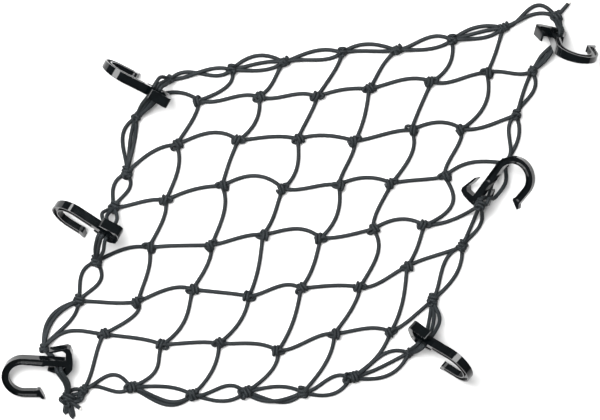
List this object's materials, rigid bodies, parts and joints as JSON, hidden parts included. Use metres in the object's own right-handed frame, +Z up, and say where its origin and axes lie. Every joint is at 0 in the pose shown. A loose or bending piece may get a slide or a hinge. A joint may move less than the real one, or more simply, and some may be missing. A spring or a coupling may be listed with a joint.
{
  "type": "cargo net",
  "caption": "Elastic cargo net of knotted cord in a square mesh, with a doubled edge cord and moulded hooks round it, lying slack.",
  "frame": {"origin": "on the surface the net lies on, below the middle of its bounding box", "axes": "+X along the longest side, to the right as the net is seen from above; +Y to the far side; +Z up from the surface"},
  "size_m": [0.5612, 0.3954, 0.0622],
  "materials": {
    "net_cord": "matte braid",
    "edge_cord": "matte braid",
    "hook": "gloss"
  },
  "bodies": {
    "root": {"net_mesh": "net_cord", "edge_cord": "edge_cord", "hook_1": "hook", "hook_2": "hook", "hook_3": "hook", "hook_4": "hook", "hook_5": "hook", "hook_6": "hook"}
  },
  "joints": []
}
